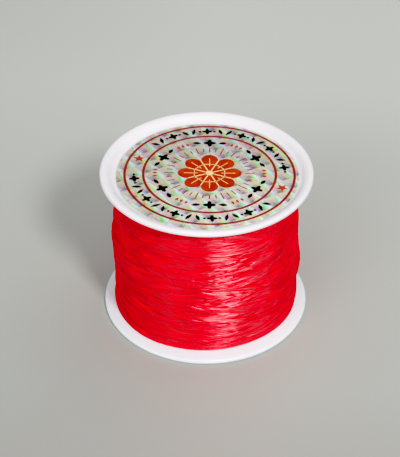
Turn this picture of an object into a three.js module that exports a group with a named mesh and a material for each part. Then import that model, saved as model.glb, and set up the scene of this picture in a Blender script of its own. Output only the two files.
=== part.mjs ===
// A small craft spool of elastic cord: a moulded plastic spool with two dished flanges on a
// hollow barrel, the cord wound on it, and a film disc in the dish of the upper flange.
// Millimetres, +Z up. The origin is the centre of the ring that the spool stands on.
// Bearings are in degrees, anticlockwise from +X seen from above, so the front is at 270.

import * as THREE from 'three';

// The spool
const SPOOL_HEIGHT = 37.5;
const FLANGE_RADIUS = 24;
const RIM_THICKNESS = 1.1;
const RIM_ROUND = 0.6;
const LIP_INNER_RADIUS = 22.5;
const LIP_ROUND = 0.35;
const DISH_RADIUS = 21.1;
const DISH_DEPTH = 1.4;
const DISH_ROUND = 0.5;
const PLATE_EDGE_RADIUS = 21.3;
const PLATE_THICKNESS = 0.6;
const BARREL_RADIUS = 15;
const BARREL_WALL = 1.4;

// The winding
const GAP = 0.3;
const WINDING_INNER_RADIUS = BARREL_RADIUS + GAP;
const PLATE_TOP = DISH_DEPTH + PLATE_THICKNESS;
const WINDING_BOTTOM = PLATE_TOP + GAP;
const WINDING_TOP = SPOOL_HEIGHT - PLATE_TOP - GAP;

// The film disc, stuck a little off centre
const FILM_RADIUS = 20.65;
const FILM_THICKNESS = 0.25;
const FILM_CENTRE = { x: 0.25, y: -0.2 };

// Facets
const SPOOL_SEGMENTS = 64;
const ARC_STEPS = 3;
const WINDING_COLUMNS = 80;
const WINDING_ROWS = 30;

// The wound surface: its radius on four sides at each height
const SIDES = { right: 0, back: 90, left: 180, front: 270 };
const WINDING_SHAPE = [
  { height: 2.0, right: 21.3, back: 21.3, left: 21.6, front: 21.4 },
  { height: 4.6, right: 21.55, back: 21.2, left: 21.2, front: 21.35 },
  { height: 8.5, right: 21.35, back: 21.6, left: 21.35, front: 21.5 },
  { height: 13.5, right: 22.0, back: 21.4, left: 21.25, front: 21.7 },
  { height: 17.0, right: 21.6, back: 21.3, left: 21.6, front: 21.6 },
  { height: 20.5, right: 21.2, back: 21.6, left: 21.85, front: 21.65 },
  { height: 24.0, right: 21.25, back: 21.7, left: 21.3, front: 21.5 },
  { height: 27.5, right: 20.95, back: 21.2, left: 20.85, front: 21.3 },
  { height: 35.5, right: 20.7, back: 20.9, left: 20.6, front: 21.0 },
];

// Places where the turns heap up or leave a hollow
const LUMPS = [
  { bearing: 232, height: 3.0, spread: 26, reach: 2.6, lift: 0.3 },
  { bearing: 298, height: 2.6, spread: 20, reach: 3.4, lift: -0.3 },
  { bearing: 262, height: 23.0, spread: 24, reach: 3.6, lift: 0.18 },
  { bearing: 318, height: 9.0, spread: 22, reach: 3.0, lift: -0.2 },
  { bearing: 45, height: 12.0, spread: 26, reach: 4.0, lift: 0.3 },
  { bearing: 130, height: 25.0, spread: 24, reach: 3.4, lift: 0.25 },
  { bearing: 105, height: 6.0, spread: 22, reach: 3.0, lift: -0.25 },
];

// Ropes of turns that cross the rest on a slant: where each starts, how far round it runs,
// and how far it rises on the way
const BANDS = [
  { bearing: 272, height: 15.6, turn: 84, rise: 5.6, width: 1.5, lift: 0.32 },
  { bearing: 200, height: 26.4, turn: 95, rise: -4.6, width: 1.3, lift: 0.22 },
  { bearing: 196, height: 19.6, turn: 110, rise: -6.4, width: 1.4, lift: 0.26 },
  { bearing: 255, height: 8.2, turn: 90, rise: 4.2, width: 1.2, lift: 0.2 },
  { bearing: 215, height: 10.6, turn: 80, rise: -3.6, width: 1.3, lift: 0.2 },
  { bearing: 285, height: 24.2, turn: 70, rise: 5.0, width: 1.3, lift: 0.2 },
  { bearing: 350, height: 9.0, turn: 120, rise: 7.0, width: 1.5, lift: 0.3 },
  { bearing: 20, height: 25.5, turn: 110, rise: -6.0, width: 1.4, lift: 0.28 },
  { bearing: 80, height: 7.0, turn: 115, rise: 7.5, width: 1.5, lift: 0.28 },
  { bearing: 110, height: 30.0, turn: 100, rise: -5.0, width: 1.3, lift: 0.22 },
];
const BAND_FADE = 16;

const radians = THREE.MathUtils.degToRad;

function bearingFrom(start, bearing) {
  return THREE.MathUtils.euclideanModulo(bearing - start, 360);
}

function smoothColumn(name, height) {
  const rows = WINDING_SHAPE;
  const last = rows.length - 1;
  let i = 0;
  while (i < last - 1 && height > rows[i + 1].height) i += 1;
  const share = THREE.MathUtils.smoothstep(height, rows[i].height, rows[i + 1].height);
  return THREE.MathUtils.lerp(rows[i][name], rows[i + 1][name], share);
}

function lumpLift(lump, bearing, height) {
  const turn = bearingFrom(lump.bearing - 180, bearing) - 180;
  const across = turn / lump.spread;
  const along = (height - lump.height) / lump.reach;
  return lump.lift * Math.exp(-across * across - along * along);
}

function bandLift(band, bearing, height) {
  const turn = bearingFrom(band.bearing, bearing);
  if (turn > band.turn) return 0;
  const fade = THREE.MathUtils.smoothstep(Math.min(turn, band.turn - turn), 0, BAND_FADE);
  const middle = band.height + band.rise * (turn / band.turn);
  const off = (height - middle) / band.width;
  return band.lift * fade * Math.exp(-off * off);
}

function windingRadius(bearing, height) {
  let radius = 0;
  for (const [name, side] of Object.entries(SIDES)) {
    const facing = Math.max(0, Math.cos(radians(bearing - side)));
    radius += facing * facing * smoothColumn(name, height);
  }
  for (const lump of LUMPS) radius += lumpLift(lump, bearing, height);
  for (const band of BANDS) radius += bandLift(band, bearing, height);
  return radius;
}

// A line of corners, each rounded by an arc that touches both of its sides
function roundedLine(corners) {
  const points = [];
  corners.forEach((corner, i) => {
    const tip = new THREE.Vector2(corner.r, corner.z);
    if (!corner.round) {
      points.push(tip);
      return;
    }
    const before = corners[i - 1];
    const after = corners[i + 1];
    const back = new THREE.Vector2(before.r, before.z).sub(tip).normalize();
    const ahead = new THREE.Vector2(after.r, after.z).sub(tip).normalize();
    const half = Math.acos(back.dot(ahead)) / 2;
    const middle = back.clone().add(ahead).normalize();
    const centre = tip.clone().addScaledVector(middle, corner.round / Math.sin(half));
    const first = tip.clone().addScaledVector(back, corner.round / Math.tan(half)).sub(centre);
    const turn = Math.sign(first.cross(middle)) * (Math.PI - 2 * half);
    for (let step = 0; step <= ARC_STEPS; step += 1) {
      const spoke = first.clone().rotateAround(new THREE.Vector2(), -turn * (step / ARC_STEPS));
      points.push(spoke.add(centre));
    }
  });
  return points;
}

function turned(profile, segments) {
  return new THREE.LatheGeometry(profile, segments).rotateX(Math.PI / 2);
}

// One flange in section, from the floor of its dish round the rim to the barrel, with z
// counted from the outer face
function flangeCorners() {
  return [
    { r: DISH_RADIUS, z: DISH_DEPTH, round: DISH_ROUND },
    { r: LIP_INNER_RADIUS, z: 0, round: LIP_ROUND },
    { r: FLANGE_RADIUS, z: 0, round: RIM_ROUND },
    { r: FLANGE_RADIUS, z: RIM_THICKNESS, round: RIM_ROUND },
    { r: PLATE_EDGE_RADIUS, z: PLATE_TOP },
    { r: BARREL_RADIUS, z: PLATE_TOP },
  ];
}

function spoolGeometry() {
  const bore = BARREL_RADIUS - BARREL_WALL;
  const lower = flangeCorners();
  const upper = flangeCorners()
    .reverse()
    .map((corner) => ({ ...corner, z: SPOOL_HEIGHT - corner.z }));
  return turned(
    roundedLine([
      { r: 0, z: SPOOL_HEIGHT - PLATE_TOP },
      { r: bore, z: SPOOL_HEIGHT - PLATE_TOP },
      { r: bore, z: DISH_DEPTH },
      ...lower,
      ...upper,
      { r: 0, z: SPOOL_HEIGHT - DISH_DEPTH },
    ]),
    SPOOL_SEGMENTS,
  );
}

function windingSection(bearing) {
  const section = [[WINDING_INNER_RADIUS, WINDING_BOTTOM]];
  for (let row = 0; row <= WINDING_ROWS; row += 1) {
    const height = THREE.MathUtils.lerp(WINDING_BOTTOM, WINDING_TOP, row / WINDING_ROWS);
    section.push([windingRadius(bearing, height), height]);
  }
  section.push([WINDING_INNER_RADIUS, WINDING_TOP]);
  return section;
}

// A ring swept through the section at each bearing and joined to itself
function windingGeometry() {
  const positions = [];
  const faces = [];
  const perSection = windingSection(0).length;
  for (let column = 0; column < WINDING_COLUMNS; column += 1) {
    const bearing = (360 * column) / WINDING_COLUMNS;
    for (const [radius, height] of windingSection(bearing)) {
      positions.push(radius * Math.cos(radians(bearing)));
      positions.push(radius * Math.sin(radians(bearing)));
      positions.push(height);
    }
    const here = column * perSection;
    const there = ((column + 1) % WINDING_COLUMNS) * perSection;
    for (let i = 0; i < perSection; i += 1) {
      const next = (i + 1) % perSection;
      faces.push(here + i, there + i, there + next);
      faces.push(here + i, there + next, here + next);
    }
  }
  const geometry = new THREE.BufferGeometry();
  geometry.setAttribute('position', new THREE.Float32BufferAttribute(positions, 3));
  geometry.setIndex(faces);
  geometry.computeVertexNormals();
  return geometry;
}

function filmGeometry() {
  return turned(
    [
      new THREE.Vector2(0, 0),
      new THREE.Vector2(FILM_RADIUS, 0),
      new THREE.Vector2(FILM_RADIUS, FILM_THICKNESS),
      new THREE.Vector2(0, FILM_THICKNESS),
    ],
    SPOOL_SEGMENTS,
  );
}

const plastic = new THREE.MeshStandardMaterial({ color: 0xf0edf1, roughness: 0.35, metalness: 0 });
const cord = new THREE.MeshStandardMaterial({ color: 0xe0061c, roughness: 0.5, metalness: 0 });
const film = new THREE.MeshStandardMaterial({ color: 0xb6b2a2, roughness: 0.3, metalness: 0.6 });

function named(name, geometry, material) {
  const mesh = new THREE.Mesh(geometry, material);
  mesh.name = name;
  return mesh;
}

const spool = named('spool', spoolGeometry(), plastic);
const winding = named('winding', windingGeometry(), cord);
const label = named('label', filmGeometry(), film);
label.position.set(FILM_CENTRE.x, FILM_CENTRE.y, SPOOL_HEIGHT - DISH_DEPTH + GAP);

const group = new THREE.Group();
group.add(spool, winding, label);

export default group;
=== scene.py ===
"""A small craft spool of red elastic cord with a film label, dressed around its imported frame.

Sizes are in millimetres and become metres where a mesh is made. Bearings are in degrees,
anticlockwise from +X seen from above, so the side that faces the camera is at 270.
"""

import math
from collections import namedtuple

import bmesh
import bpy
import numpy as np
from mathutils import Matrix, Vector


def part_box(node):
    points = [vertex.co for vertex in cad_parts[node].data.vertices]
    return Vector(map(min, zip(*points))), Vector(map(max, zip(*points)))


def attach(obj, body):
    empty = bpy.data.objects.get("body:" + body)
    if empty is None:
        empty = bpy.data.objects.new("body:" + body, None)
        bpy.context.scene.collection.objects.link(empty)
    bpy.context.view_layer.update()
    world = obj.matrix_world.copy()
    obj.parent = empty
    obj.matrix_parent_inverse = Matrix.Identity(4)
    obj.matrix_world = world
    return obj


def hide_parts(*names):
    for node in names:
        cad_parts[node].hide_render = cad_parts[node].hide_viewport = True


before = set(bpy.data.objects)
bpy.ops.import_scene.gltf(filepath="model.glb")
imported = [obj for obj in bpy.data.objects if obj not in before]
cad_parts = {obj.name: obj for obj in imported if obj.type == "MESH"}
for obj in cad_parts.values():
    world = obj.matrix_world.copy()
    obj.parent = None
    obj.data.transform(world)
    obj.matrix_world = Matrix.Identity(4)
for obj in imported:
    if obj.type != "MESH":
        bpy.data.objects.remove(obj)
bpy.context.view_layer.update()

MM = 0.001
IMAGE_WIDTH = 400
IMAGE_HEIGHT = 457

# The spool. Its height and radius are the frame's, and the rest follows the part's source,
# with softer edges on the flanges.
SPOOL_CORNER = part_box("spool")[1]
SPOOL_HEIGHT = round(SPOOL_CORNER.z / MM, 3)
FLANGE_RADIUS = round(SPOOL_CORNER.x / MM, 3)
RIM_THICKNESS = 1.1
RIM_ROUND = 0.6
LIP_INNER_RADIUS = 22.5
LIP_ROUND = 2.0
DISH_RADIUS = 21.1
DISH_DEPTH = 1.4
DISH_ROUND = 1.8
PLATE_EDGE_RADIUS = 21.3
PLATE_EDGE_ROUND = 1.2
PLATE_THICKNESS = 0.6
PLATE_TOP = DISH_DEPTH + PLATE_THICKNESS
BARREL_RADIUS = 15.0
BARREL_WALL = 1.4
BARREL_ROUND = 0.6
BORE_ROUND = 0.4
SPOOL_SEGMENTS = 256
ARC_STEPS = 7

# The wound surface, as in the part's source: its radius on four sides at each height
SIDES = {"right": 0.0, "back": 90.0, "left": 180.0, "front": 270.0}
Level = namedtuple("Level", "height right back left front")
WINDING_SHAPE = [
    Level(2.0, 21.3, 21.3, 21.6, 21.4),
    Level(4.6, 21.55, 21.2, 21.2, 21.35),
    Level(8.5, 21.35, 21.6, 21.35, 21.5),
    Level(13.5, 22.0, 21.4, 21.25, 21.7),
    Level(17.0, 21.6, 21.3, 21.6, 21.6),
    Level(20.5, 21.2, 21.6, 21.85, 21.65),
    Level(24.0, 21.25, 21.7, 21.3, 21.5),
    Level(27.5, 20.95, 21.2, 20.85, 21.3),
    Level(35.5, 20.7, 20.9, 20.6, 21.0),
]

# Places where the turns heap up or leave a hollow
Lump = namedtuple("Lump", "bearing height spread reach lift")
LUMPS = [
    Lump(232, 3.0, 26, 2.6, 0.3),
    Lump(298, 2.6, 20, 3.4, -0.3),
    Lump(262, 23.0, 24, 3.6, 0.18),
    Lump(318, 9.0, 22, 3.0, -0.2),
    Lump(45, 12.0, 26, 4.0, 0.3),
    Lump(130, 25.0, 24, 3.4, 0.25),
    Lump(105, 6.0, 22, 3.0, -0.25),
]

# Ropes of turns that cross the rest on a slant: where each starts, how far round it runs, and
# how far it rises on the way
Band = namedtuple("Band", "bearing height turn rise width lift")
BANDS = [
    Band(272, 15.6, 84, 5.6, 1.5, 0.32),
    Band(200, 26.4, 95, -4.6, 1.3, 0.22),
    Band(196, 19.6, 110, -6.4, 1.4, 0.26),
    Band(255, 8.2, 90, 4.2, 1.2, 0.2),
    Band(215, 10.6, 80, -3.6, 1.3, 0.2),
    Band(285, 24.2, 70, 5.0, 1.3, 0.2),
    Band(350, 9.0, 120, 7.0, 1.5, 0.3),
    Band(20, 25.5, 110, -6.0, 1.4, 0.28),
    Band(80, 7.0, 115, 7.5, 1.5, 0.28),
    Band(110, 30.0, 100, -5.0, 1.3, 0.22),
]
BAND_FADE = 16.0

# The seed of the chance draws, and how far they vary a wave's swings. A wave is a pair: its
# swings in a turn and its size.
SEED = 11
SWING_SPREAD = (0.8, 1.25)

# A strand of the cord: a flat bundle of fibres that twists now and then, which makes it
# narrower and thicker. Its crown is how far its round top falls towards its sides.
STRAND_WIDTH = 0.62
STRAND_THICKNESS = 0.26
STRAND_CROWN = 0.9
TWIST_MIDDLE = 0.95
TWIST_THICKENS = 1.2
TWIST_WAVES = [(1.7, 0.12), (4.1, 0.08)]

# A strand in section: fused ribs on top and a flat underside, as shares of its width and
# thickness
RIB_ACROSS = np.array([-0.5, -0.42, -0.25, 0.0, 0.25, 0.42, 0.5, 0.0])
RIB_HEIGHT = np.array([0.0, 0.75, 1.0, 0.86, 0.6, 0.32, -0.05, -0.6])

# The grid of bearings and heights that the cord is laid on, and the lowest and highest turn
GRID_COLUMNS = 540
GRID_PITCH = 0.08
GRID_MARGIN = 0.3
GRID_LOW = PLATE_TOP - GRID_MARGIN
GRID_HIGH = SPOOL_HEIGHT - GRID_LOW
TURN_MARGIN = 0.22
TURN_LOW = PLATE_TOP + TURN_MARGIN
TURN_HIGH = SPOOL_HEIGHT - TURN_LOW
FOOTPRINT = np.linspace(-0.5, 0.5, 7)

# How runs settle. The first lie this deep under the wound surface. A run rests partly on the
# mean and partly on the peaks of what is under it, evened out over some columns, and is
# pressed in where it stands proud of the wound surface.
LAID_DEPTH = 0.75
ON_MEAN = 0.7
ON_PEAKS = 0.3
SAG = 7
PRESSED_IN = 0.6

# The runs: slow traverses one way and fast ones back, with turns beside both flanges after
# every third pair, then the ropes, then the last traverses. Numbers of turns are ranges.
LAYERS = 26
SLOW_TURNS = (9, 13)
FAST_TURNS = (2.6, 5.0)
LAYER_SWAY = 0.6
LAST_LAYERS = 8
LAST_TURNS = (8, 12)
LAST_SWAY = 0.7
TRAVERSE_EASE = 0.6
TRAVERSE_WAVES = [(0.6, 0.9), (1.7, 0.45), (3.9, 0.16)]
EDGE_EVERY = 3
EDGE_SPREAD = 0.5
EDGE_TURNS = (1.2, 2.0)
EDGE_WAVES = [(0.9, 0.16), (2.3, 0.08)]
ROPE_STRANDS = 5
ROPE_SPACING = 0.8
ROPE_THICKER = 1.5
ROPE_LEAD = 300.0
ROPE_EASE = 24
ROPE_WAVES = [(1.3, 0.2), (3.1, 0.12)]

# How runs become meshes. A stretch shows where some of the middle share of its width is less
# than this depth under later runs. It has a section every few columns, its ends dive under
# their neighbours, and its length in the UV map starts at a chance number up to a limit.
HIDDEN_DEPTH = 0.03
SHOWN_SHARE = 0.8
MESH_STEP = 6
END_DIVE = 0.25
END_REACH = 1.2
STRAND_PIECES = 5
UV_SHIFT = 500

# A loose fibre on the front: bearing, height and radius along it
STRAY_FIBRE = [
    (268.4, 16.3, 21.8),
    (269.8, 17.1, 22.0),
    (271.0, 17.8, 22.0),
    (275.0, 17.9, 21.9),
    (279.0, 17.7, 21.6),
]
STRAY_STEPS = 24
STRAY_EASE = 2
STRAY_WIDTH = 0.22
STRAY_THICKNESS = 0.6 * STRAY_WIDTH

# The ring of buried turns
INNER_COLUMNS = 180
INNER_ROWS = 40
INNER_GAP = 0.02

# The film disc. It is centred a little off the spool's axis, and its print off the disc.
FILM_RADIUS = 20.5
FILM_CENTRE = (0.22, -0.3)
FILM_GAP = 0.02
FILM_THICKNESS = 0.16
FILM_TOP = SPOOL_HEIGHT - DISH_DEPTH + FILM_GAP + FILM_THICKNESS
FILM_EDGE = 0.04
FILM_SEGMENTS = 192
PRINT_CENTRE = (0.69, 0.02)
PRINT_THICKNESS = 0.02

# Two rings, with stars and a garland of flowers, dots and leaves in the band between them
RING_RADII = (19.1, 14.9)
RING_WIDTH = 0.56
RING_STEPS = 180
BAND_RADIUS = 17.0
STAR_BEARINGS = (161.0, 341.0)
STAR_POINTS = 5
STAR_RADII = (1.4, 0.62)
GARLAND_START = 27.0
GARLAND_STEP = 14.0
GARLAND_MARKS = 10
GARLAND_FLOWER = 1.2
GARLAND_DOT = 0.32
GARLAND_DOT_ASIDE = 5.6
Leaf = namedtuple("Leaf", "width length inset aside spin")
GARLAND_LEAVES = [Leaf(0.8, 2.5, 1.1, -1.6, -24.0), Leaf(0.8, 2.2, 1.0, 1.6, 30.0)]

# Posies with a leaf on each side, and rows of three buds between them
POSIES = 6
POSY_RADIUS = 12.1
POSY_FLOWER = 1.45
POSY_LEAF = (0.9, 2.0)
POSY_LEAF_ASIDE = 9.5
POSY_LEAF_SPIN = 75.0
BUD_RADIUS = 12.3
BUD_SIZE = (0.7, 1.3)
BUD_OFFSETS = (24.5, 30.0, 35.5)

# The rosette in the middle, with its veins and its eye, and the ticks round it. A vein is its
# width, its start and its end.
PETALS = 8
ROSETTE_RADIUS = 7.2
PETAL_DEPTH = 0.3
PETAL_FULLNESS = 0.7
VALLEY_VEIN = (0.3, 1.0, 0.72 * ROSETTE_RADIUS)
PETAL_VEIN = (0.18, 2.6, ROSETTE_RADIUS - 1.4)
CROSS_VEIN = (0.18, -1.45, 1.45)
CROSS_VEIN_RADIUS = 3.4
EYE_RADIUS = 0.9
EYE_SIDES = 24
TICKS = 40
TICK_RADIUS = 9.1
TICK_WIDTH = 0.24
TICK_LENGTHS = (2.3, 1.2, 1.7, 1.2)

# The camera, and the pixel at which it sees the point of the spool's axis that it is aimed at
CAMERA_BEARING = 270.0
CAMERA_ELEVATION = 37.5
CAMERA_DISTANCE = 323.9
CAMERA_TARGET_HEIGHT = 18.7
CAMERA_ROLL = 0.47
FOCAL_PIXELS = 1394.5
AXIS_PIXEL = (206.0, 235.2)
SENSOR = 36.0
CLIP_START = 10.0

# The picture's tone curve: dark tones are pressed down, which keeps the cord's red pure, and
# the brightest are held a little below white
TONES = [(0.03, 0.003), (0.1, 0.07), (0.22, 0.215), (0.75, 0.745)]
BRIGHTEST = 0.915

# The studio's soft lamps, and the rays that they are hidden from: one lamp adds only gloss,
# and two add none
Lamp = namedtuple("Lamp", "name bearing elevation distance width height watts colour hidden")
LAMPS = [
    Lamp("key", 296.5, 42.0, 1400.0, 230.0, 260.0, 11.4, (1.0, 0.99, 0.97), ()),
    Lamp("strip", 334.0, 40.0, 1400.0, 600.0, 400.0, 2.6, (1.0, 0.98, 0.98), ("diffuse",)),
    Lamp("sheen", 230.0, 30.0, 2400.0, 1500.0, 1300.0, 3.0, (1.0, 0.98, 1.0), ()),
    Lamp("fill", 239.0, 22.0, 2400.0, 1600.0, 1300.0, 20.5, (0.98, 0.99, 1.0), ("glossy",)),
    Lamp("back", 50.0, 48.0, 650.0, 500.0, 400.0, 0.8, (0.96, 1.0, 0.98), ("glossy",)),
]
WORLD_COLOUR = (0.98, 1.0, 0.98, 1.0)
WORLD_STRENGTH = 0.5

# The floor's tones, and how they change from near to far and from left to right over these
# stretches. These changes are painted light: darker near the camera and to the left, brighter
# far off, as the lamps' light falls on the floor.
FLOOR_HALF = 3000.0
FLOOR_TONES = [(0.3, (0.545, 0.555, 0.53)), (0.7, (0.565, 0.575, 0.55))]
FLOOR_DEPTH = (-60.0, 150.0)
FLOOR_PAINTED_LIGHT_AWAY = [
    (0.0, (0.71, 0.69, 0.69)),
    (0.14, (0.79, 0.81, 0.81)),
    (0.4, (0.87, 0.87, 0.87)),
    (0.75, (1.0, 0.99, 0.99)),
    (1.0, (0.98, 0.97, 0.97)),
]
FLOOR_BREADTH = (-70.0, 70.0)
FLOOR_PAINTED_LIGHT_ASIDE = [
    (0.0, (0.88, 0.88, 0.88)),
    (0.5, (0.95, 0.95, 0.95)),
    (1.0, (0.93, 0.93, 0.93)),
]
FLOOR_CLOUDS = 6.0
FLOOR_GRAIN = 900.0
FLOOR_RELIEF = 0.02

# Where most of a noise's values lie
NOISE_SPAN = (0.3, 0.7)


class Shader:
    """One material's nodes. A value given to an input is either a number or a socket to link.
    Noise scales are in waves a metre."""

    def __init__(self, name):
        self.material = bpy.data.materials.new(name)
        self.material.use_nodes = True
        self.tree = self.material.node_tree
        self.surface = self.tree.nodes["Principled BSDF"]

    def fill(self, node, inputs):
        for key, value in inputs.items():
            socket = node.inputs[key]
            if isinstance(value, bpy.types.NodeSocket):
                self.tree.links.new(value, socket)
            else:
                socket.default_value = value
        return node

    def add(self, kind, inputs, **settings):
        node = self.tree.nodes.new(kind)
        for key, value in settings.items():
            setattr(node, key, value)
        return self.fill(node, inputs)

    def finish(self, **inputs):
        self.fill(self.surface, {key.replace("_", " "): value for key, value in inputs.items()})
        return self.material

    def place(self):
        return self.add("ShaderNodeTexCoord", {}).outputs["Object"]

    def math(self, operation, *values):
        inputs = dict(enumerate(values))
        return self.add("ShaderNodeMath", inputs, operation=operation).outputs[0]

    def vector(self, operation, *values):
        inputs = dict(enumerate(values))
        return self.add("ShaderNodeVectorMath", inputs, operation=operation).outputs[0]

    def scaled(self, vector, scale, turn=0.0):
        inputs = {"Vector": vector, "Scale": scale, "Rotation": (0.0, 0.0, turn)}
        return self.add("ShaderNodeMapping", inputs).outputs[0]

    def triple(self, x, y=0.0, z=0.0):
        return self.add("ShaderNodeCombineXYZ", {0: x, 1: y, 2: z}).outputs[0]

    def parts(self, vector):
        return self.add("ShaderNodeSeparateXYZ", {0: vector}).outputs

    def noise(self, vector, scale=1.0, detail=2.0, roughness=0.5, output="Fac"):
        inputs = {"Vector": vector, "Scale": scale, "Detail": detail, "Roughness": roughness}
        return self.add("ShaderNodeTexNoise", inputs).outputs[output]

    def chance(self, cell):
        inputs = {"Vector": cell}
        return self.add("ShaderNodeTexWhiteNoise", inputs, noise_dimensions="2D").outputs["Value"]

    def ramp(self, factor, stops):
        node = self.add("ShaderNodeValToRGB", {"Fac": factor})
        elements = node.color_ramp.elements
        while len(elements) < len(stops):
            elements.new(0.5)
        for element, (position, colour) in zip(elements, stops):
            element.position = position
            element.color = (*colour, 1.0)
        return node.outputs["Color"]

    def range(self, value, low, high, new_low, new_high):
        inputs = {"Value": value, "From Min": low, "From Max": high}
        inputs |= {"To Min": new_low, "To Max": new_high}
        return self.add("ShaderNodeMapRange", inputs).outputs[0]

    def mix(self, factor, a, b, blend="MIX"):
        """Two colours mixed. A Mix node's colours are its inputs 6 and 7 and its output 2."""
        node = self.tree.nodes.new("ShaderNodeMix")
        node.data_type = "RGBA"
        node.blend_type = blend
        self.fill(node, {0: factor, 6: a, 7: b})
        return node.outputs[2]

    def bump(self, height, distance, strength=1.0):
        inputs = {"Height": height, "Distance": distance, "Strength": strength}
        return self.add("ShaderNodeBump", inputs).outputs["Normal"]


def mesh_object(name, vertices, faces, material, smooth=True):
    """A mesh object made from points in millimetres."""
    mesh = bpy.data.meshes.new(name)
    mesh.from_pydata((np.asarray(vertices, float) * MM).tolist(), [], faces)
    mesh.update()
    if smooth:
        mesh.polygons.foreach_set("use_smooth", np.ones(len(mesh.polygons), bool))
    mesh.materials.append(material)
    piece = bpy.data.objects.new(name, mesh)
    bpy.context.scene.collection.objects.link(piece)
    return piece


def recalculate(piece):
    """Turns all of a closed piece's faces outwards."""
    mesh = bmesh.new()
    mesh.from_mesh(piece.data)
    bmesh.ops.recalc_face_normals(mesh, faces=mesh.faces)
    mesh.to_mesh(piece.data)
    mesh.free()


def ring_faces(base, columns, count):
    """The faces of a ring swept through a closed section of count points at each column."""
    faces = []
    for column in range(columns):
        here = base + column * count
        there = base + (column + 1) % columns * count
        for i in range(count):
            j = (i + 1) % count
            faces.append((here + i, there + i, there + j, here + j))
    return faces


def tube_faces(base, columns, count):
    """The sides and the two ends of a tube with a closed section of count points at each column."""
    i = np.arange(columns - 1)[:, None] * count
    j = np.arange(count)[None, :]
    k = (j + 1) % count
    sides = np.stack([i + j, i + count + j, i + count + k, i + k], -1).reshape(-1, 4) + base
    first = list(range(base, base + count))
    last = list(range(base + (columns - 1) * count, base + columns * count))
    return [*sides.tolist(), first, last[::-1]]


def turned(name, profile, segments, material):
    """A solid of revolution from a profile whose first and last points are on the axis."""
    ring = profile[1:-1]
    vertices = [(0.0, 0.0, profile[0][1]), (0.0, 0.0, profile[-1][1])]
    for step in range(segments):
        angle = 2 * math.pi * step / segments
        vertices += [(r * math.cos(angle), r * math.sin(angle), z) for r, z in ring]
    count = len(ring)
    faces = []
    for step in range(segments):
        here = 2 + step * count
        there = 2 + (step + 1) % segments * count
        faces.append((0, here, there))
        faces += [(here + i, here + i + 1, there + i + 1, there + i) for i in range(count - 1)]
        faces.append((here + count - 1, 1, there + count - 1))
    piece = mesh_object(name, vertices, faces, material)
    recalculate(piece)
    return piece


def rounded_line(corners, steps):
    """The points of a line of (r, z, round) corners, with an arc in place of each round corner."""
    points = []
    for i, (r, z, rounding) in enumerate(corners):
        tip = np.array((r, z))
        if not rounding:
            points.append(tip)
            continue
        back = np.array(corners[i - 1][:2]) - tip
        ahead = np.array(corners[i + 1][:2]) - tip
        back /= np.linalg.norm(back)
        ahead /= np.linalg.norm(ahead)
        half = math.acos(back @ ahead) / 2
        middle = (back + ahead) / np.linalg.norm(back + ahead)
        centre = tip + middle * rounding / math.sin(half)
        first = tip + back * rounding / math.tan(half) - centre
        last = tip + ahead * rounding / math.tan(half) - centre
        sweep = math.pi - 2 * half
        for step in range(steps + 1):
            angle = sweep * step / steps
            spoke = first * math.sin(sweep - angle) + last * math.sin(angle)
            points.append(centre + spoke / math.sin(sweep))
    return points


# The plastic. Its tones change from the lower to the upper ones between these shares of the
# spool's height. The lower ones are bluer to cancel the pink light that the red cord throws onto
# the lower flange, so this change is painted light on one white plastic.
LOWER_TONES_AGAINST_BOUNCE = [(0.3, (0.74, 0.765, 0.82)), (0.7, (0.76, 0.785, 0.84))]
UPPER_TONES = [(0.3, (0.76, 0.73, 0.775)), (0.7, (0.8, 0.77, 0.81))]
TONE_CHANGE = (0.3, 0.7)
PLASTIC_CLOUDS = 90.0
PLASTIC_WEAR = 500.0
PLASTIC_ROUGHNESS = (0.4, 0.48)
PLASTIC_GRAIN = 2600.0
PLASTIC_RELIEF = 0.01
PLASTIC_GLOW_DEPTH = 1.2


def plastic_material():
    shader = Shader("white_plastic")
    place = shader.place()
    cloud = shader.noise(place, PLASTIC_CLOUDS, detail=3.0)
    change = [share * SPOOL_HEIGHT * MM for share in TONE_CHANGE]
    high = shader.range(shader.parts(place)[2], *change, 0.0, 1.0)
    grain = shader.noise(place, PLASTIC_GRAIN, detail=3.0)
    wear = shader.noise(place, PLASTIC_WEAR)
    return shader.finish(
        # Painted light: the lower flange's bluer tones take out the cord's pink bounce light
        Base_Color=shader.mix(high, shader.ramp(cloud, LOWER_TONES_AGAINST_BOUNCE), shader.ramp(cloud, UPPER_TONES)),
        Roughness=shader.range(wear, *NOISE_SPAN, *PLASTIC_ROUGHNESS),
        Normal=shader.bump(grain, PLASTIC_RELIEF * MM, strength=0.4),
        Subsurface_Weight=0.25,
        Subsurface_Radius=(1.0, 0.9, 0.95),
        Subsurface_Scale=PLASTIC_GLOW_DEPTH * MM,
    )


def flange_corners():
    """One flange in section, from the floor of its dish round the rim to the barrel, with z
    counted from the outer face."""
    return [
        (DISH_RADIUS, DISH_DEPTH, DISH_ROUND),
        (LIP_INNER_RADIUS, 0.0, LIP_ROUND),
        (FLANGE_RADIUS, 0.0, RIM_ROUND),
        (FLANGE_RADIUS, RIM_THICKNESS, RIM_ROUND),
        (PLATE_EDGE_RADIUS, PLATE_TOP, PLATE_EDGE_ROUND),
        (BARREL_RADIUS, PLATE_TOP, BARREL_ROUND),
    ]


def make_spool(material):
    bore = BARREL_RADIUS - BARREL_WALL
    roof = SPOOL_HEIGHT - PLATE_TOP
    lower = flange_corners()
    upper = [(r, SPOOL_HEIGHT - z, rounding) for r, z, rounding in reversed(lower)]
    corners = [(0.0, roof, 0.0), (bore, roof, BORE_ROUND), (bore, DISH_DEPTH, BORE_ROUND)]
    corners += [*lower, *upper, (0.0, SPOOL_HEIGHT - DISH_DEPTH, 0.0)]
    piece = turned("spool_moulding", rounded_line(corners, ARC_STEPS), SPOOL_SEGMENTS, material)
    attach(piece, "root")
    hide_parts("spool")


def smoothstep(value):
    value = np.clip(value, 0.0, 1.0)
    return value * value * (3 - 2 * value)


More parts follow.
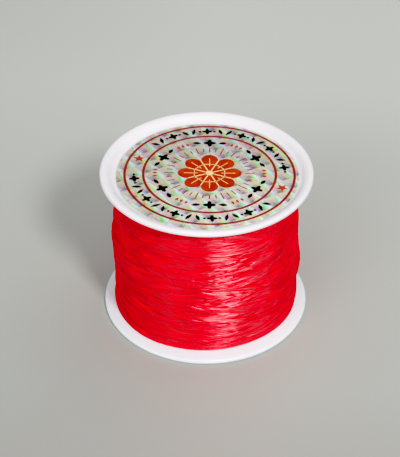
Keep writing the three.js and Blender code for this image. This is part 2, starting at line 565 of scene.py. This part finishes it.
def smooth_column(name, height):
    """The wound surface's radius on one side, for arrays of heights."""
    heights = np.array([level.height for level in WINDING_SHAPE])
    radii = np.array([getattr(level, name) for level in WINDING_SHAPE])
    i = np.clip(np.searchsorted(heights, height, side="right") - 1, 0, len(heights) - 2)
    share = smoothstep((height - heights[i]) / (heights[i + 1] - heights[i]))
    return radii[i] + (radii[i + 1] - radii[i]) * share


def winding_radius(bearing, height):
    """The wound surface's radius, for arrays of bearings and heights."""
    radius = np.zeros(np.broadcast(bearing, height).shape)
    for name, side in SIDES.items():
        facing = np.maximum(0.0, np.cos(np.radians(bearing - side)))
        radius = radius + facing**2 * smooth_column(name, height)
    for lump in LUMPS:
        across = (np.mod(bearing - lump.bearing + 180, 360) - 180) / lump.spread
        along = (height - lump.height) / lump.reach
        radius = radius + lump.lift * np.exp(-(across**2) - along**2)
    for band in BANDS:
        gone = np.mod(bearing - band.bearing, 360)
        fade = smoothstep(np.minimum(gone, band.turn - gone) / BAND_FADE)
        off = (height - band.height - band.rise * gone / band.turn) / band.width
        radius = radius + band.lift * fade * np.exp(-(off**2))
    return radius


def wavy(rng, count, turns, waves):
    """A slow random sway along a path."""
    along = np.linspace(0, turns, count)
    sway = np.zeros(count)
    for swings, size in waves:
        swing = along * swings * rng.uniform(*SWING_SPREAD) + rng.uniform()
        sway += size * np.sin(2 * math.pi * swing)
    return sway


def smoothed(values, reach):
    """A running average with round weights, kept whole at the ends."""
    weights = np.hanning(2 * reach + 3)[1:-1]
    padded = np.pad(values, reach, mode="edge")
    return np.convolve(padded, weights / weights.sum(), mode="valid")


def crown(across):
    """How high a strand's top is, as a share of its thickness, at shares of its half width."""
    return np.sqrt(1 - across**2 * STRAND_CROWN)


class Winding:
    """The cord laid run by run on a grid of bearing and height that remembers the surface so far."""

    def __init__(self):
        self.rng = np.random.default_rng(SEED)
        self.bearings = np.arange(GRID_COLUMNS) * 360 / GRID_COLUMNS
        self.heights = np.arange(GRID_LOW, GRID_HIGH + GRID_PITCH, GRID_PITCH)
        self.limit = winding_radius(self.bearings[:, None], self.heights[None, :])
        self.surface = self.limit - LAID_DEPTH
        self.runs = []

    def rows(self, height):
        nearest = np.rint((height - GRID_LOW) / GRID_PITCH).astype(int)
        return np.clip(nearest, 0, len(self.heights) - 1)

    def lay(self, start, heights, width, thickness):
        """One run from a start column, a column for each height. It is taut, so it bridges hollows."""
        columns = (start + np.arange(len(heights))) % GRID_COLUMNS
        rows = self.rows(heights[:, None] + FOOTPRINT * width[:, None])
        under = self.surface[columns[:, None], rows]
        seat = smoothed(ON_MEAN * under.mean(1) + ON_PEAKS * under.max(1), SAG)
        proud = seat + thickness - self.limit[columns, self.rows(heights)]
        seat = seat - PRESSED_IN * np.maximum(proud, 0)
        top = seat[:, None] + thickness[:, None] * crown(2 * FOOTPRINT)
        np.maximum.at(self.surface, (columns[:, None], rows), top)
        bearing = (start + np.arange(len(heights))) * 360 / GRID_COLUMNS
        self.runs.append(np.stack([bearing, heights, seat, width, thickness]))

    def section(self, count, turns):
        """The strand's width and thickness along a run."""
        twist = wavy(self.rng, count, turns, TWIST_WAVES)
        return STRAND_WIDTH * (TWIST_MIDDLE + twist), STRAND_THICKNESS * (1 - TWIST_THICKENS * twist)

    def traverse(self, turns, upward, sway):
        """A run from one flange to the other."""
        count = int(turns * GRID_COLUMNS)
        s = np.linspace(0, 1, count)
        climb = s - TRAVERSE_EASE * np.sin(2 * math.pi * s) / (2 * math.pi)
        heights = TURN_LOW + (TURN_HIGH - TURN_LOW) * climb
        waves = [(swings, size * sway) for swings, size in TRAVERSE_WAVES]
        heights = heights + np.sqrt(np.sin(math.pi * s)) * wavy(self.rng, count, turns, waves)
        if not upward:
            heights = heights[::-1]
        start = int(self.rng.integers(GRID_COLUMNS))
        self.lay(start, np.clip(heights, TURN_LOW, TURN_HIGH), *self.section(count, turns))

    def layer(self, slow_turns, upward, sway):
        """A slow traverse one way and a fast one back."""
        self.traverse(self.rng.uniform(*slow_turns), upward, sway)
        self.traverse(self.rng.uniform(*FAST_TURNS), not upward, sway)

    def edge_turn(self, level):
        """A run that goes round beside a flange."""
        turns = self.rng.uniform(*EDGE_TURNS)
        count = int(turns * GRID_COLUMNS)
        heights = level + wavy(self.rng, count, turns, EDGE_WAVES)
        heights = np.clip(heights, TURN_LOW, TURN_HIGH)
        self.lay(int(self.rng.integers(GRID_COLUMNS)), heights, *self.section(count, turns))

    def rope(self, band):
        """Runs side by side along a band, eased into the flanges at both ends."""
        ends = (TURN_LOW, TURN_HIGH) if band.rise > 0 else (TURN_HIGH, TURN_LOW)
        end = band.bearing + band.turn
        knots = [band.bearing - ROPE_LEAD, band.bearing, end, end + ROPE_LEAD]
        levels = [ends[0], band.height, band.height + band.rise, ends[1]]
        bearings = np.arange(knots[0], knots[-1], 360 / GRID_COLUMNS)
        middle = smoothed(np.interp(bearings, knots, levels), ROPE_EASE)
        first = int(round(knots[0] / 360 * GRID_COLUMNS)) % GRID_COLUMNS
        turns = len(bearings) / GRID_COLUMNS
        for strand in range(ROPE_STRANDS):
            shift = (strand - (ROPE_STRANDS - 1) / 2) * ROPE_SPACING * STRAND_WIDTH
            sway = wavy(self.rng, len(bearings), turns, ROPE_WAVES)
            heights = np.clip(middle + shift + sway, TURN_LOW, TURN_HIGH)
            width, thickness = self.section(len(bearings), turns)
            self.lay(first, heights, width, ROPE_THICKER * thickness)

    def wind(self):
        for i in range(LAYERS):
            self.layer(SLOW_TURNS, i % 2 == 0, LAYER_SWAY)
            if i % EDGE_EVERY == EDGE_EVERY - 1:
                self.edge_turn(TURN_LOW + self.rng.uniform(0, EDGE_SPREAD))
                self.edge_turn(TURN_HIGH - self.rng.uniform(0, EDGE_SPREAD))
        for band in BANDS:
            self.rope(band)
        for i in range(LAST_LAYERS):
            self.layer(LAST_TURNS, i % 2 == 0, LAST_SWAY)

    def shown(self, run):
        """The stretches of a run that aren't buried under later ones, as steps along it."""
        bearing, height, seat, width, thickness = run
        columns = np.rint(bearing * GRID_COLUMNS / 360).astype(int) % GRID_COLUMNS
        rows = self.rows(height[:, None] + SHOWN_SHARE * FOOTPRINT * width[:, None])
        top = seat[:, None] + thickness[:, None] * crown(2 * SHOWN_SHARE * FOOTPRINT)
        clear = (self.surface[columns[:, None], rows] - top).min(1) < HIDDEN_DEPTH
        marks = np.flatnonzero(smoothed(clear.astype(float), 2 * MESH_STEP) > 0)
        for stretch in np.split(marks, np.flatnonzero(np.diff(marks) > 1) + 1):
            if len(stretch) > 2 * MESH_STEP:
                yield np.append(np.arange(stretch[0], stretch[-1], MESH_STEP), stretch[-1])


def strand_points(stretch):
    """A stretch's points, section by section, and how far along it each section is."""
    bearing, height, seat, width, thickness = stretch
    angle = np.radians(bearing)
    tilt = np.arctan2(np.gradient(height), np.gradient(angle) * seat)
    across = RIB_ACROSS[None, :] * width[:, None]
    radius = seat[:, None] + RIB_HEIGHT[None, :] * thickness[:, None]
    turn = angle[:, None] - across * np.sin(tilt)[:, None] / radius
    level = height[:, None] + across * np.cos(tilt)[:, None]
    points = np.stack([radius * np.cos(turn), radius * np.sin(turn), level], -1)
    distance = np.cumsum(np.append(0, np.hypot(np.diff(angle) * seat[1:], np.diff(height))))
    from_end = np.minimum(distance, distance[-1] - distance)
    dive = END_DIVE * (1 - smoothstep(from_end / END_REACH))
    points[..., :2] *= (1 - dive / seat)[:, None, None]
    return points.reshape(-1, 3), distance


def strand_mesh(name, stretches, material, rng):
    """One mesh of several stretches, with length and width as a UV map and a shade for each."""
    vertices, faces, uvs, shades = [], [], [], []
    base = 0
    count = len(RIB_ACROSS)
    for stretch in stretches:
        points, distance = strand_points(stretch)
        along = np.repeat(distance + rng.uniform(0, UV_SHIFT), count)
        vertices.append(points)
        uvs.append(np.stack([along, np.tile(RIB_ACROSS, len(distance))], -1))
        shades.append(np.full(len(points), rng.uniform()))
        faces += tube_faces(base, len(distance), count)
        base += len(points)
    piece = mesh_object(name, np.concatenate(vertices), faces, material)
    piece.data.polygons.foreach_set("use_smooth", [len(face) == 4 for face in faces])
    lay_uv(piece.data, np.concatenate(uvs) * (MM, 1.0))
    attribute = piece.data.attributes.new("shade", "FLOAT", "POINT")
    attribute.data.foreach_set("value", np.concatenate(shades))
    return piece


def lay_uv(mesh, uv):
    """A UV map along the cord from a value for each vertex."""
    corner = np.zeros(len(mesh.loops), int)
    mesh.loops.foreach_get("vertex_index", corner)
    mesh.uv_layers.new(name="along_cord").data.foreach_set("uv", uv[corner].ravel())


# The cord's finish. A strand's shade is a chance number from 0 to 1. It shifts the strand's
# tone, the line that parts it into two lanes, each lane's row in the noises of ripples and
# glints, and how strongly it ripples.
CORD_TONES = [(0.3, (0.5, 0.0, 0.014)), (0.55, (0.88, 0.0, 0.03)), (0.85, (1.0, 0.0, 0.05))]
FIBRE_TONE = 0.5
SHADE_TONE = 0.3
CLOUD_TONE = 0.3
FIBRE_SCALE = (150.0, 6.0, 1.0)
CORD_CLOUDS = 160.0
LANE_SHIFT = 7.0
LANE_STEP = 5.7
SHADE_STEP = 91.0
GLINT_LAYER = 9.0
RIPPLE_SCALE = 190.0
RIPPLE_LEAST = 0.28
RIPPLE_RISE = 1.2
RIPPLE_POWER = 3.0
FIBRE_RELIEF = 0.03
STRAND_TILT = -0.17
CORD_RELIEF = 1.0

# Its gloss, in glints along the strand, faded out where the surface turns away
GLINT_SCALE = 170.0
GLINT_SPAN = (0.43, 0.55)
GLOSS_SPAN = (0.02, 1.0)
AWAY_SPAN = (0.45, 0.85)


def cord_material():
    shader = Shader("red_elastic_fibre")
    uv = shader.add("ShaderNodeUVMap", {}, uv_map="along_cord").outputs["UV"]
    shade = shader.add("ShaderNodeAttribute", {}, attribute_name="shade").outputs["Fac"]
    along, across = shader.parts(uv)[:2]
    lane = shader.math("FLOOR", shader.math("MULTIPLY_ADD", shade, LANE_SHIFT, across))
    row = shader.math("MULTIPLY_ADD", lane, LANE_STEP, shader.math("MULTIPLY", shade, SHADE_STEP))
    fibres = shader.noise(shader.scaled(uv, FIBRE_SCALE), detail=3.0, roughness=0.6)
    cloud = shader.noise(shader.place(), CORD_CLOUDS)
    tone = shader.math("MULTIPLY_ADD", fibres, FIBRE_TONE, shader.math("MULTIPLY", shade, SHADE_TONE))
    tone = shader.math("MULTIPLY_ADD", cloud, CLOUD_TONE, tone)

    ripple = shader.triple(shader.math("MULTIPLY", along, RIPPLE_SCALE), row)
    ripple = shader.noise(ripple, detail=0.0)
    unrest = shader.math("POWER", shade, RIPPLE_POWER)
    unrest = shader.math("MULTIPLY_ADD", unrest, RIPPLE_RISE, RIPPLE_LEAST)
    relief = shader.math("MULTIPLY_ADD", ripple, unrest, shader.math("MULTIPLY", fibres, FIBRE_RELIEF))
    relief = shader.math("MULTIPLY_ADD", across, STRAND_TILT, relief)

    glint = shader.triple(shader.math("MULTIPLY", along, GLINT_SCALE), row, GLINT_LAYER)
    glint = shader.noise(glint, detail=1.0)
    gloss = shader.range(glint, *GLINT_SPAN, *GLOSS_SPAN)
    facing = shader.add("ShaderNodeLayerWeight", {"Blend": 0.5}).outputs["Facing"]
    gloss = shader.math("MULTIPLY", gloss, shader.range(facing, *AWAY_SPAN, 1.0, 0.0))
    tangent = shader.add("ShaderNodeTangent", {}, direction_type="UV_MAP", uv_map="along_cord")
    return shader.finish(
        Base_Color=shader.ramp(tone, CORD_TONES),
        Roughness=0.33,
        IOR=2.9,
        Specular_IOR_Level=gloss,
        Specular_Tint=(1.0, 0.29, 0.32, 1.0),
        Anisotropic=1.0,
        Anisotropic_Rotation=0.25,
        Tangent=tangent.outputs[0],
        Normal=shader.bump(relief, CORD_RELIEF * MM),
    )


def stray_fibre():
    """The end of one fibre that has come loose on the front."""
    columns = np.array(STRAY_FIBRE).T
    knots = np.linspace(0, 1, len(STRAY_FIBRE))
    s = np.linspace(0, 1, STRAY_STEPS)
    path = [smoothed(np.interp(s, knots, values), STRAY_EASE) for values in columns]
    section = [np.full(STRAY_STEPS, size) for size in (STRAY_WIDTH, STRAY_THICKNESS)]
    return np.stack([*path, *section])


def inner_turns(material):
    """The mass of turns under the ones that show, as one ring."""
    inner = BARREL_RADIUS + INNER_GAP
    low = PLATE_TOP + INNER_GAP
    high = SPOOL_HEIGHT - low
    levels = np.linspace(low, high, INNER_ROWS)
    vertices = []
    for column in range(INNER_COLUMNS):
        bearing = 360 * column / INNER_COLUMNS
        radii = winding_radius(np.full(INNER_ROWS, bearing), levels) - LAID_DEPTH
        radii = np.minimum(radii, PLATE_EDGE_RADIUS - INNER_GAP)
        section = [(inner, low), *zip(radii, levels), (inner, high)]
        angle = math.radians(bearing)
        vertices += [(r * math.cos(angle), r * math.sin(angle), z) for r, z in section]
    faces = ring_faces(0, INNER_COLUMNS, len(section))
    piece = mesh_object("cord_inner_turns", vertices, faces, material)
    points = np.array(vertices)
    around_axis = np.arctan2(points[:, 1], points[:, 0])
    lay_uv(piece.data, np.stack([around_axis * BARREL_RADIUS * MM, points[:, 2]], -1))
    return piece


def make_winding():
    winding = Winding()
    winding.wind()
    drift = float((winding.surface - winding.limit).mean())
    stretches = [run[:, steps] for run in winding.runs for steps in winding.shown(run)]
    for stretch in stretches:
        stretch[2] -= drift
    material = cord_material()
    rng = np.random.default_rng(SEED + 1)
    lengths = np.cumsum([stretch.shape[1] for stretch in stretches])
    share = np.ceil(STRAND_PIECES * lengths / lengths[-1]).astype(int)
    pieces = []
    for i in range(1, STRAND_PIECES + 1):
        batch = [stretch for stretch, part in zip(stretches, share) if part == i]
        pieces.append(strand_mesh(f"cord_turns_{i}", batch, material, rng))
    pieces.append(strand_mesh("cord_stray_fibre", [stray_fibre()], material, rng))
    pieces.append(inner_turns(material))
    for piece in pieces:
        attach(piece, "root")
    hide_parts("winding")


# The film's square tiles. Each has tones from its upper end to its lower end, on a slant: the
# film's own silvery beige with painted shading of its tilted facets, and a painted shade line
# near the lower end. Each also has a bright wedge that opens down its length, with tones
# across: a painted rainbow highlight, standing in for the glint that the embossed film throws
# back. Shares are of a tile.
TILE_PITCH = 3.6
TILE_BEARING = 31.0
TILE_SWAY = 0.22
TILE_SLANT = 0.3
TILE_START = 0.22
TILE_RELIEF = 0.08
TILE_TONES_AND_SHADING = [
    (0.0, (0.82, 0.68, 0.59)),
    (0.45, (0.69, 0.6, 0.53)),
    (0.78, (0.48, 0.445, 0.415)),
    (0.91, (0.29, 0.26, 0.28)),
    (0.96, (0.32, 0.29, 0.29)),
    (1.0, (0.5, 0.44, 0.4)),
]
WEDGE_MIDDLE = 0.4
WEDGE_POINT = 0.04
WEDGE_OPENING = 0.36
WEDGE_EDGE = (0.5, 1.15)
WEDGE_HIGHLIGHT_TONES = [
    (0.0, (0.6, 0.86, 0.32)),
    (0.35, (0.68, 0.98, 0.8)),
    (0.6, (0.94, 0.98, 1.0)),
    (1.0, (0.76, 0.66, 0.98)),
]

# How the tiles differ from place to place. The gleam sets how strong each wedge's painted
# highlight is, and the hue and liveliness set its rainbow colour.
SWAY_SCALE = 330.0
HUE_SCALE = 130.0
HUE_SPAN = (0.38, 0.62)
HUE_CHANCE = 0.06
LIVELY_SCALE = 210.0
LIVELY_SPAN = (1.0, 2.4)
GLEAM_SCALE = 420.0
GLEAM_NOISE_SPAN = (0.35, 0.6)
GLEAM_SPAN = (0.45, 1.0)
TINT_SCALE = 330.0
TINT_SHARE = 0.5
FLECK_SCALE = 1500.0
FLECK_SHARE = 0.8
FLECK_TONES = [(0.3, (0.36, 0.34, 0.32)), (0.7, (0.64, 0.66, 0.68))]


def wedge_highlight_tone(shader, place, side, cell):
    """The tones of the wedge's painted rainbow highlight, their hue shifted from place to place
    and from tile to tile.
    """
    wedge = shader.ramp(shader.range(side, -1.0, 1.0, 0.0, 1.0), WEDGE_HIGHLIGHT_TONES)
    hue = shader.range(shader.noise(place, HUE_SCALE, detail=1.0), *NOISE_SPAN, *HUE_SPAN)
    shift = shader.range(shader.chance(cell), 0.0, 1.0, -HUE_CHANCE, HUE_CHANCE)
    lively = shader.range(shader.noise(place, LIVELY_SCALE), *NOISE_SPAN, *LIVELY_SPAN)
    inputs = {"Hue": shader.math("ADD", hue, shift), "Saturation": lively, "Color": wedge}
    return shader.add("ShaderNodeHueSaturation", inputs).outputs[0]


def film_material():
    """Film pressed in square tiles, each with painted facet shading on a slant and a painted
    rainbow highlight in a bright wedge down its length.
    """
    shader = Shader("tiled_film")
    place = shader.place()
    tiles = shader.scaled(place, (1 / (TILE_PITCH * MM),) * 3, -math.radians(TILE_BEARING))
    sway = shader.math("MULTIPLY", shader.noise(place, SWAY_SCALE, detail=1.0), TILE_SWAY)
    tiles = shader.vector("ADD", tiles, shader.triple(0.0, sway))
    across, up = shader.parts(shader.vector("FRACTION", tiles))[:2]
    down = shader.math("SUBTRACT", 1.0, up)
    slant = shader.math("SUBTRACT", down, TILE_START)
    slant = shader.math("MULTIPLY_ADD", across, TILE_SLANT, slant)

    side = shader.math("SUBTRACT", across, WEDGE_MIDDLE)
    side = shader.math("DIVIDE", side, shader.math("MULTIPLY_ADD", down, WEDGE_OPENING, WEDGE_POINT))
    wedge = wedge_highlight_tone(shader, place, side, shader.vector("FLOOR", tiles))
    # The wedge's painted highlight, stronger or weaker from place to place by the gleam
    bright = shader.range(shader.math("ABSOLUTE", side), *WEDGE_EDGE, 1.0, 0.0)
    gleam = shader.range(shader.noise(place, GLEAM_SCALE), *GLEAM_NOISE_SPAN, *GLEAM_SPAN)
    # The tiles' tones with their painted shading, under the wedges' painted highlight
    tone = shader.mix(shader.math("MULTIPLY", bright, gleam), shader.ramp(slant, TILE_TONES_AND_SHADING), wedge)

    tone = shader.mix(TINT_SHARE, tone, shader.noise(place, TINT_SCALE, output="Color"), "OVERLAY")
    fleck = shader.ramp(shader.noise(place, FLECK_SCALE, roughness=0.7), FLECK_TONES)
    return shader.finish(
        Base_Color=shader.mix(FLECK_SHARE, tone, fleck, "OVERLAY"),
        Metallic=0.3,
        Roughness=0.36,
        Normal=shader.bump(shader.math("MULTIPLY", slant, TILE_RELIEF), MM),
    )


def make_film():
    bottom = FILM_TOP - FILM_THICKNESS
    profile = [
        (0.0, bottom),
        (FILM_RADIUS - FILM_EDGE, bottom),
        (FILM_RADIUS, bottom + FILM_EDGE),
        (FILM_RADIUS, FILM_TOP - FILM_EDGE),
        (FILM_RADIUS - FILM_EDGE, FILM_TOP),
        (0.0, FILM_TOP),
    ]
    piece = turned("film_disc", profile, FILM_SEGMENTS, film_material())
    piece.data.transform(Matrix.Translation(Vector((*FILM_CENTRE, 0.0)) * MM))
    return piece


def polar(radius, bearing):
    angle = math.radians(bearing)
    return np.array((math.cos(angle), math.sin(angle))) * radius


def star(points, outer, inner):
    """A star with a point up."""
    steps = range(2 * points)
    return [polar(outer if i % 2 == 0 else inner, 90 + 180 * i / points) for i in steps]


def dot(radius, sides=12):
    return [polar(radius, 360 * i / sides) for i in range(sides)]


def lozenge(width, length):
    corners = ((width / 2, 0), (0, length / 2), (-width / 2, 0), (0, -length / 2))
    return [np.array(corner) for corner in corners]


def leaf(width, length, steps=8):
    """An almond that points up, from (0, 0) to (0, length)."""
    side = [(width / 2 * math.sin(math.pi * i / steps), length * i / steps) for i in range(steps + 1)]
    return [np.array(p) for p in side] + [np.array((-x, y)) for x, y in side[-2:0:-1]]


def quatrefoil(radius, depth=0.34, steps=32):
    """A flower with four lobes."""
    bearings = np.arange(steps) * 360 / steps
    lobes = (1 + depth * np.cos(np.radians(4 * bearings))) / (1 + depth)
    return [polar(radius * lobe, bearing) for lobe, bearing in zip(lobes, bearings)]


def rosette(radius, petals, steps=96):
    """A flower with rounded petals in one outline, a petal up."""
    bearings = np.arange(steps) * 360 / steps
    lobes = np.abs(np.cos(np.radians(bearings - 90) * petals / 2)) ** PETAL_FULLNESS
    reach = 1 - PETAL_DEPTH + PETAL_DEPTH * lobes
    return [polar(radius * share, bearing) for share, bearing in zip(reach, bearings)]


def bar(width, start, end):
    corners = ((width / 2, start), (width / 2, end), (-width / 2, end), (-width / 2, start))
    return [np.array(corner) for corner in corners]


def placed(outline, radius, bearing, spin=0.0):
    """An outline set out from the print's centre, its own up turned outwards and then by spin."""
    turn = math.radians(bearing - 90 + spin)
    rotation = np.array(((math.cos(turn), -math.sin(turn)), (math.sin(turn), math.cos(turn))))
    centre = np.array(PRINT_CENTRE) + polar(radius, bearing)
    return [rotation @ point + centre for point in outline]


def garland():
    """Between the two stars on each side: flowers with two dots, and pairs of leaves."""
    outlines = []
    for start in STAR_BEARINGS:
        for step in range(GARLAND_MARKS):
            bearing = start + GARLAND_START + GARLAND_STEP * step
            if step % 2:
                for each in GARLAND_LEAVES:
                    shape = leaf(each.width, each.length)
                    radius = BAND_RADIUS - each.inset
                    outlines.append(placed(shape, radius, bearing + each.aside, each.spin))
            else:
                outlines.append(placed(quatrefoil(GARLAND_FLOWER), BAND_RADIUS, bearing))
                for aside in (-GARLAND_DOT_ASIDE, GARLAND_DOT_ASIDE):
                    outlines.append(placed(dot(GARLAND_DOT), BAND_RADIUS, bearing + aside))
    return outlines


def posy(bearing):
    outlines = [placed(quatrefoil(POSY_FLOWER), POSY_RADIUS, bearing)]
    for side in (-1, 1):
        aside = bearing + side * POSY_LEAF_ASIDE
        outlines.append(placed(leaf(*POSY_LEAF), POSY_RADIUS, aside, side * POSY_LEAF_SPIN))
    return outlines


def veins():
    """Bars in the valleys between the petals, down the petals' middles, and across them."""
    petals = [360 * i / PETALS for i in range(PETALS)]
    outlines = [placed(bar(*VALLEY_VEIN), 0.0, bearing + 180 / PETALS) for bearing in petals]
    outlines += [placed(bar(*PETAL_VEIN), 0.0, bearing) for bearing in petals]
    outlines += [placed(bar(*CROSS_VEIN), CROSS_VEIN_RADIUS, bearing, 90.0) for bearing in petals]
    return outlines


def ticks():
    outlines = []
    for i in range(TICKS):
        half = TICK_LENGTHS[i % len(TICK_LENGTHS)] / 2
        outlines.append(placed(bar(TICK_WIDTH, -half, half), TICK_RADIUS, 360 * i / TICKS))
    return outlines


INK_CLOUDS = 700.0
INK_STOPS = (0.35, 0.65)


def ink(name, dark, light):
    """A printed colour, a little uneven."""
    shader = Shader(name)
    cloud = shader.noise(shader.place(), INK_CLOUDS, detail=3.0)
    tone = shader.ramp(cloud, list(zip(INK_STOPS, (dark, light))))
    return shader.finish(Base_Color=tone, Roughness=0.4, Specular_IOR_Level=0.25)


def printed(name, outlines, material, layer=0):
    """Thin flat prisms of ink on the film, one for each outline."""
    low = FILM_TOP - PRINT_THICKNESS / 2
    high = FILM_TOP + PRINT_THICKNESS * (1 + layer)
    vertices, faces = [], []
    for outline in outlines:
        base = len(vertices)
        n = len(outline)
        vertices += [(x, y, low) for x, y in outline] + [(x, y, high) for x, y in outline]
        faces.append(tuple(range(base + n, base + 2 * n)))
        faces.append(tuple(range(base + n - 1, base - 1, -1)))
        for i in range(n):
            j = (i + 1) % n
            faces.append((base + i, base + j, base + n + j, base + n + i))
    piece = mesh_object(name, vertices, faces, material, smooth=False)
    recalculate(piece)
    return piece


def printed_rings(name, radii, material):
    """Thin flat bands of ink round the print's centre."""
    low = FILM_TOP - PRINT_THICKNESS / 2
    high = FILM_TOP + PRINT_THICKNESS
    vertices, faces = [], []
    for radius in radii:
        inner, outer = radius - RING_WIDTH / 2, radius + RING_WIDTH / 2
        section = [(inner, low), (outer, low), (outer, high), (inner, high)]
        faces += ring_faces(len(vertices), RING_STEPS, len(section))
        for bearing in np.arange(RING_STEPS) * 360 / RING_STEPS:
            vertices += [(*(polar(r, bearing) + PRINT_CENTRE), z) for r, z in section]
    piece = mesh_object(name, vertices, faces, material, smooth=False)
    recalculate(piece)
    return piece


def make_print():
    brown_red = ink("print_brown_red", (0.24, 0.03, 0.02), (0.31, 0.042, 0.028))
    red = ink("print_red", (0.42, 0.04, 0.03), (0.5, 0.055, 0.04))
    orange = ink("print_orange_red", (0.38, 0.035, 0.008), (0.48, 0.06, 0.014))
    cream = ink("print_cream", (0.9, 0.5, 0.24), (0.96, 0.62, 0.34))
    black = ink("print_black", (0.008, 0.012, 0.011), (0.02, 0.026, 0.024))
    stars = [placed(star(STAR_POINTS, *STAR_RADII), BAND_RADIUS, place) for place in STAR_BEARINGS]
    bearings = [360 * (i + 0.5) / POSIES for i in range(POSIES)]
    posies = [outline for bearing in bearings for outline in posy(bearing)]
    places = [bearing + offset for bearing in bearings for offset in BUD_OFFSETS]
    buds = [placed(lozenge(*BUD_SIZE), BUD_RADIUS, place) for place in places]
    return [
        printed_rings("print_rings", RING_RADII, brown_red),
        printed("print_stars", stars, red),
        printed("print_garland", garland(), black),
        printed("print_posies", posies, black),
        printed("print_buds", buds, red),
        printed("print_petals", [placed(rosette(ROSETTE_RADIUS, PETALS), 0.0, 90.0)], orange),
        printed("print_veins", veins(), cream, layer=1),
        printed("print_eye", [placed(dot(EYE_RADIUS, EYE_SIDES), 0.0, 0.0)], cream, layer=2),
        printed("print_ticks", ticks(), brown_red),
    ]


def make_label():
    pieces = [make_film(), *make_print()]
    for piece in pieces:
        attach(piece, "root")
    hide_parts("label")


def around(bearing, elevation, distance):
    """A point in metres, seen from the spool's middle at that bearing and elevation."""
    angle, rise = math.radians(bearing), math.radians(elevation)
    flat = distance * math.cos(rise)
    height = CAMERA_TARGET_HEIGHT + distance * math.sin(rise)
    return Vector((flat * math.cos(angle), flat * math.sin(angle), height)) * MM


def aimed(name, data, location):
    """A camera or lamp there that looks at the spool's middle."""
    thing = bpy.data.objects.new(name, data)
    bpy.context.scene.collection.objects.link(thing)
    thing.location = location
    direction = Vector((0, 0, CAMERA_TARGET_HEIGHT * MM)) - thing.location
    thing.rotation_euler = direction.to_track_quat("-Z", "Y").to_euler()
    return thing


def make_camera():
    data = bpy.data.cameras.new("camera")
    camera = aimed("camera", data, around(CAMERA_BEARING, CAMERA_ELEVATION, CAMERA_DISTANCE))
    camera.rotation_euler.rotate_axis("Z", math.radians(CAMERA_ROLL))
    data.sensor_fit = "VERTICAL"
    data.sensor_height = SENSOR
    data.lens = FOCAL_PIXELS / IMAGE_HEIGHT * SENSOR
    data.shift_x = (IMAGE_WIDTH / 2 - AXIS_PIXEL[0]) / IMAGE_HEIGHT
    data.shift_y = (AXIS_PIXEL[1] - IMAGE_HEIGHT / 2) / IMAGE_HEIGHT
    data.clip_start = CLIP_START * MM
    bpy.context.scene.camera = camera


def set_tones():
    view = bpy.context.scene.view_settings
    view.view_transform = "Standard"
    view.use_curve_mapping = True
    combined = view.curve_mapping.curves[3]
    for tone, shown in TONES:
        combined.points.new(tone, shown)
    combined.points[-1].location = (1.0, BRIGHTEST)
    view.curve_mapping.update()


def floor_material():
    shader = Shader("studio_floor")
    place = shader.place()
    parts = shader.parts(place)
    depth = [edge * MM for edge in FLOOR_DEPTH]
    breadth = [edge * MM for edge in FLOOR_BREADTH]
    # Painted light: darker near the camera, brighter far off, and darker towards the sides
    away = shader.ramp(shader.range(parts[1], *depth, 0.0, 1.0), FLOOR_PAINTED_LIGHT_AWAY)
    aside = shader.ramp(shader.range(parts[0], *breadth, 0.0, 1.0), FLOOR_PAINTED_LIGHT_ASIDE)
    colour = shader.ramp(shader.noise(place, FLOOR_CLOUDS), FLOOR_TONES)
    colour = shader.mix(1.0, colour, away, "MULTIPLY")
    grain = shader.noise(place, FLOOR_GRAIN)
    return shader.finish(
        Base_Color=shader.mix(1.0, colour, aside, "MULTIPLY"),
        Roughness=0.6,
        Normal=shader.bump(grain, FLOOR_RELIEF * MM, strength=0.2),
    )


def make_floor():
    corners = [(x, y, 0) for x, y in ((-1, -1), (1, -1), (1, 1), (-1, 1))]
    vertices = np.array(corners) * FLOOR_HALF
    floor = mesh_object("floor", vertices, [(0, 1, 2, 3)], floor_material(), smooth=False)


def make_light():
    world = bpy.data.worlds.new("studio")
    bpy.context.scene.world = world
    world.use_nodes = True
    background = world.node_tree.nodes["Background"]
    background.inputs["Color"].default_value = WORLD_COLOUR
    background.inputs["Strength"].default_value = WORLD_STRENGTH
    world.cycles_visibility.glossy = False
    for lamp in LAMPS:
        data = bpy.data.lights.new(lamp.name, "AREA")
        data.shape = "RECTANGLE"
        data.size = lamp.width * MM
        data.size_y = lamp.height * MM
        data.energy = lamp.watts
        data.color = lamp.colour
        light = aimed(lamp.name, data, around(lamp.bearing, lamp.elevation, lamp.distance))
        for ray in lamp.hidden:
            setattr(light, f"visible_{ray}", False)


def main():
    set_tones()
    make_camera()
    make_floor()
    make_light()
    make_spool(plastic_material())
    make_winding()
    make_label()


main()
